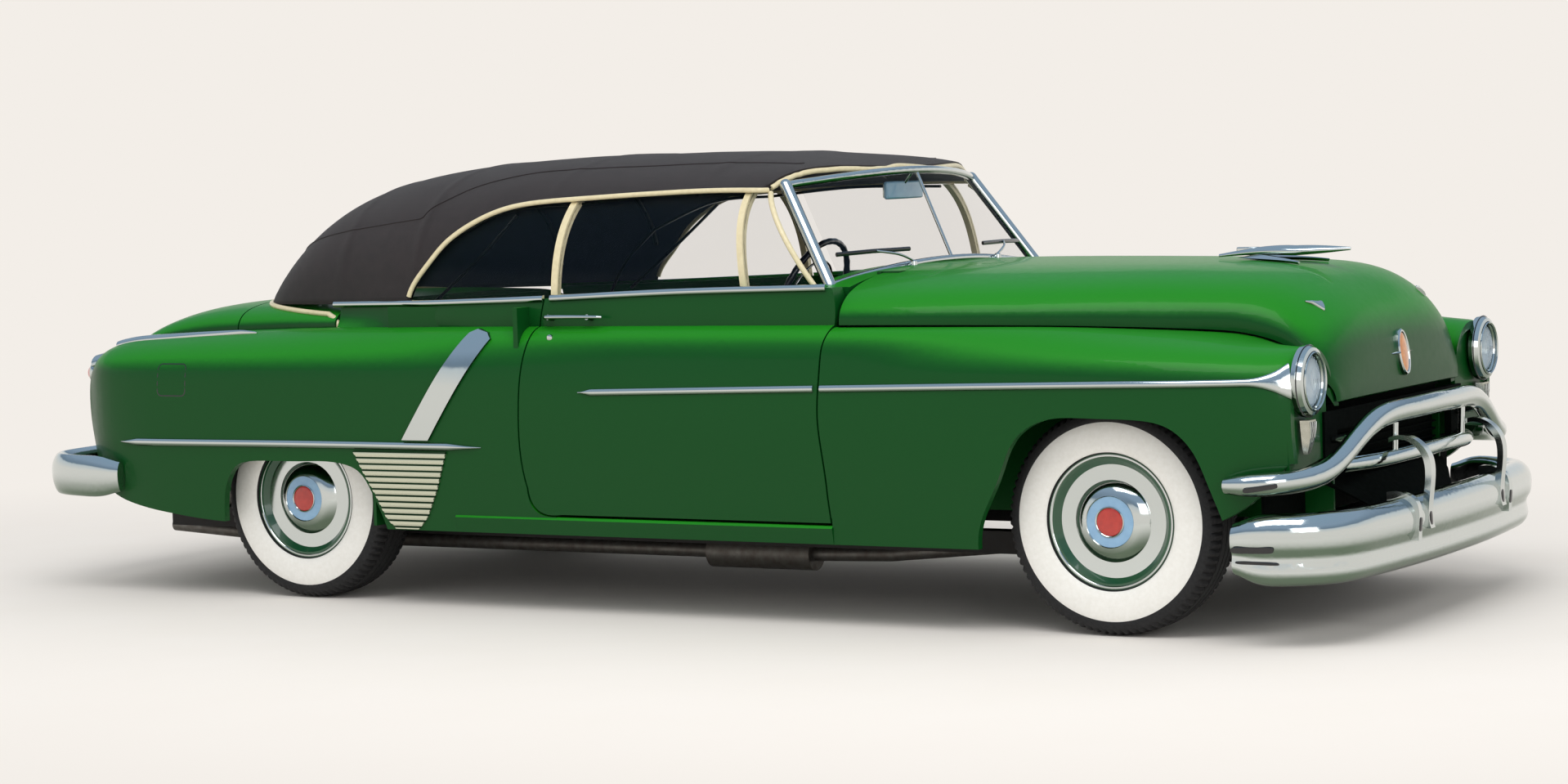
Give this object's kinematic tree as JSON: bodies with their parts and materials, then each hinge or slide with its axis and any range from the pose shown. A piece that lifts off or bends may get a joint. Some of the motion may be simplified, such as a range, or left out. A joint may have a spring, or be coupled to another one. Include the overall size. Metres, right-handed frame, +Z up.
{
  "type": "two-door convertible car",
  "caption": "Two-door convertible car of the early 1950s with its soft top up: opening doors, hood and trunk lid, steered front wheels and turning road wheels.",
  "frame": {"origin": "on the ground below the centre of the car's length and width", "axes": "+X to the front of the car, +Y to its left, +Z up"},
  "size_m": [5.1021, 1.9588, 1.4879],
  "materials": {
    "paint": "gloss",
    "chrome": "polished",
    "cloth": "matte",
    "glass": "polished",
    "lens": "polished",
    "red_lens": "polished",
    "beige": "satin",
    "tyre": "matte",
    "wheel": "gloss",
    "chassis": "satin",
    "steel": "satin",
    "iron": "matte",
    "seat": "satin",
    "dash": "gloss",
    "black": "gloss",
    "floor": "matte"
  },
  "bodies": {
    "car": {"body_shell": "paint", "front_fender_right": "paint", "front_fender_left": "paint", "nose_panel": "chassis", "windshield_frame": "chrome", "windshield_glass": "glass", "soft_top": "cloth", "rear_window": "glass", "quarter_glass": "glass", "front_bumper": "chrome", "rear_bumper": "chrome", "grille": "chrome", "headlamp_bezels": "chrome", "headlamp_lenses": "lens", "parking_lamps": "chrome", "tail_lamps": "red_lens", "side_spears": "chrome", "rock_guards": "chrome", "floor_pan": "floor", "chassis_frame": "chassis", "engine": "iron", "driveline": "steel", "rear_axle": "iron", "front_suspension": "chassis", "fuel_tank": "steel", "exhaust": "steel", "dashboard": "dash", "front_seat": "seat", "rear_seat": "seat", "steering_column": "black"},
    "hood": {"hood": "paint"},
    "trunk_lid": {"trunk_lid": "paint"},
    "door_right": {"door_right": "paint", "door_glass_right": "glass", "window_frame_right": "beige"},
    "door_left": {"door_left": "paint", "door_glass_left": "glass", "window_frame_left": "beige"},
    "steering_wheel": {"steering_wheel": "black"},
    "knuckle_right": {"knuckle_right": "iron"},
    "knuckle_left": {"knuckle_left": "iron"},
    "wheel_front_right": {"tyre_front_right": "tyre", "wheel_front_right": "wheel"},
    "wheel_front_left": {"tyre_front_left": "tyre", "wheel_front_left": "wheel"},
    "wheel_rear_right": {"tyre_rear_right": "tyre", "wheel_rear_right": "wheel"},
    "wheel_rear_left": {"tyre_rear_left": "tyre", "wheel_rear_left": "wheel"}
  },
  "joints": [
    {"name": "steer_left", "type": "hinge", "parent": "car", "child": "knuckle_left", "pos_m": [1.724, 0.68, 0.345], "axis": [0, 0, 1], "range_deg": [-28, 28]},
    {"name": "steer_right", "type": "hinge", "parent": "car", "child": "knuckle_right", "pos_m": [1.724, -0.68, 0.345], "axis": [0, 0, 1], "range_deg": [-28, 28]},
    {"name": "spin_front_left", "type": "hinge", "parent": "knuckle_left", "child": "wheel_front_left", "pos_m": [1.724, 0.74, 0.345], "axis": [0, 1, 0], "continuous": true},
    {"name": "spin_front_right", "type": "hinge", "parent": "knuckle_right", "child": "wheel_front_right", "pos_m": [1.724, -0.74, 0.345], "axis": [0, 1, 0], "continuous": true},
    {"name": "spin_rear_left", "type": "hinge", "parent": "car", "child": "wheel_rear_left", "pos_m": [-1.324, 0.74, 0.345], "axis": [0, 1, 0], "continuous": true},
    {"name": "spin_rear_right", "type": "hinge", "parent": "car", "child": "wheel_rear_right", "pos_m": [-1.324, -0.74, 0.345], "axis": [0, 1, 0], "continuous": true},
    {"name": "steering_turn", "type": "hinge", "parent": "car", "child": "steering_wheel", "pos_m": [0.02, 0.38, 0.973], "axis": [-0.9154, 0, 0.4025], "range_deg": [-448, 448]},
    {"name": "door_right_swing", "type": "hinge", "parent": "car", "child": "door_right", "pos_m": [0.806, -0.96, 0.7], "axis": [0, 0, 1], "range_deg": [0, 65]},
    {"name": "door_left_swing", "type": "hinge", "parent": "car", "child": "door_left", "pos_m": [0.806, 0.96, 0.7], "axis": [0, 0, -1], "range_deg": [0, 65]},
    {"name": "hood_lift", "type": "hinge", "parent": "car", "child": "hood", "pos_m": [0.838, 0, 1.105], "axis": [0, -1, 0], "range_deg": [0, 45]},
    {"name": "trunk_lift", "type": "hinge", "parent": "car", "child": "trunk_lid", "pos_m": [-1.723, 0, 1.021], "axis": [0, 1, 0], "range_deg": [0, 55]}
  ],
  "couplings": [
    {"joint": "steer_right", "follows": "steer_left", "ratio": 1},
    {"joint": "steering_turn", "follows": "steer_left", "ratio": 16}
  ]
}
